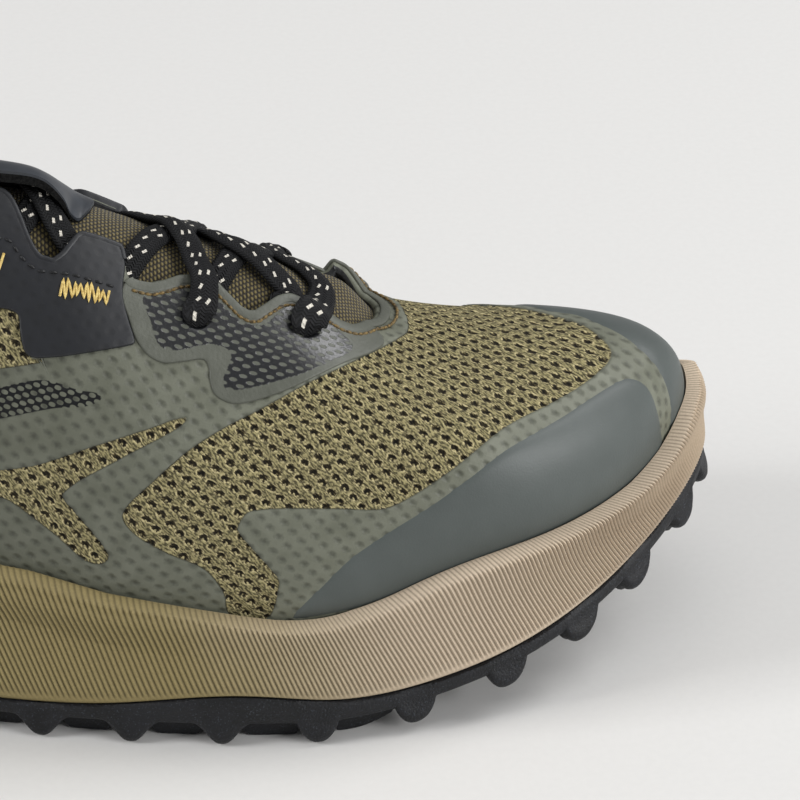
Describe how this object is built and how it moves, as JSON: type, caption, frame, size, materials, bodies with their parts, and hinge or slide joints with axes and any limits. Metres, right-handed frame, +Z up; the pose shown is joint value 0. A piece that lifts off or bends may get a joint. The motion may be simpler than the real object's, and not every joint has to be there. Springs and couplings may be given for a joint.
{
  "type": "low-cut hiking shoe",
  "caption": "Low-cut hiking shoe for the right foot, laced, with a knit upper, film overlays, a ribbed foam midsole and a lugged rubber outsole.",
  "frame": {"origin": "centre of the shoe's bounding box in plan, on the ground plane under the lugs", "axes": "+X from the heel to the toe, +Y to the inner side of the foot, +Z up"},
  "size_m": [0.2868, 0.106, 0.1355],
  "materials": {
    "outsole_rubber": "satin",
    "midsole_foam": "matte",
    "insole_foam": "matte",
    "upper_knit": "matte",
    "tongue_cloth": "matte",
    "guard_film": "satin",
    "panel_film": "satin",
    "saddle_film": "satin",
    "lace_cord": "matte"
  },
  "bodies": {
    "root": {"outsole": "outsole_rubber", "midsole": "midsole_foam", "insole": "insole_foam", "upper": "upper_knit", "tongue": "tongue_cloth", "toe_guard_outer": "guard_film", "toe_guard_inner": "guard_film", "front_panel_outer": "panel_film", "front_panel_inner": "panel_film", "saddle_panel_outer": "saddle_film", "saddle_panel_inner": "saddle_film", "lace_bar_front": "lace_cord", "lace_crossing_front": "lace_cord", "lace_crossing_middle": "lace_cord", "lace_crossing_rear": "lace_cord", "lace_keeper": "saddle_film"}
  },
  "joints": []
}
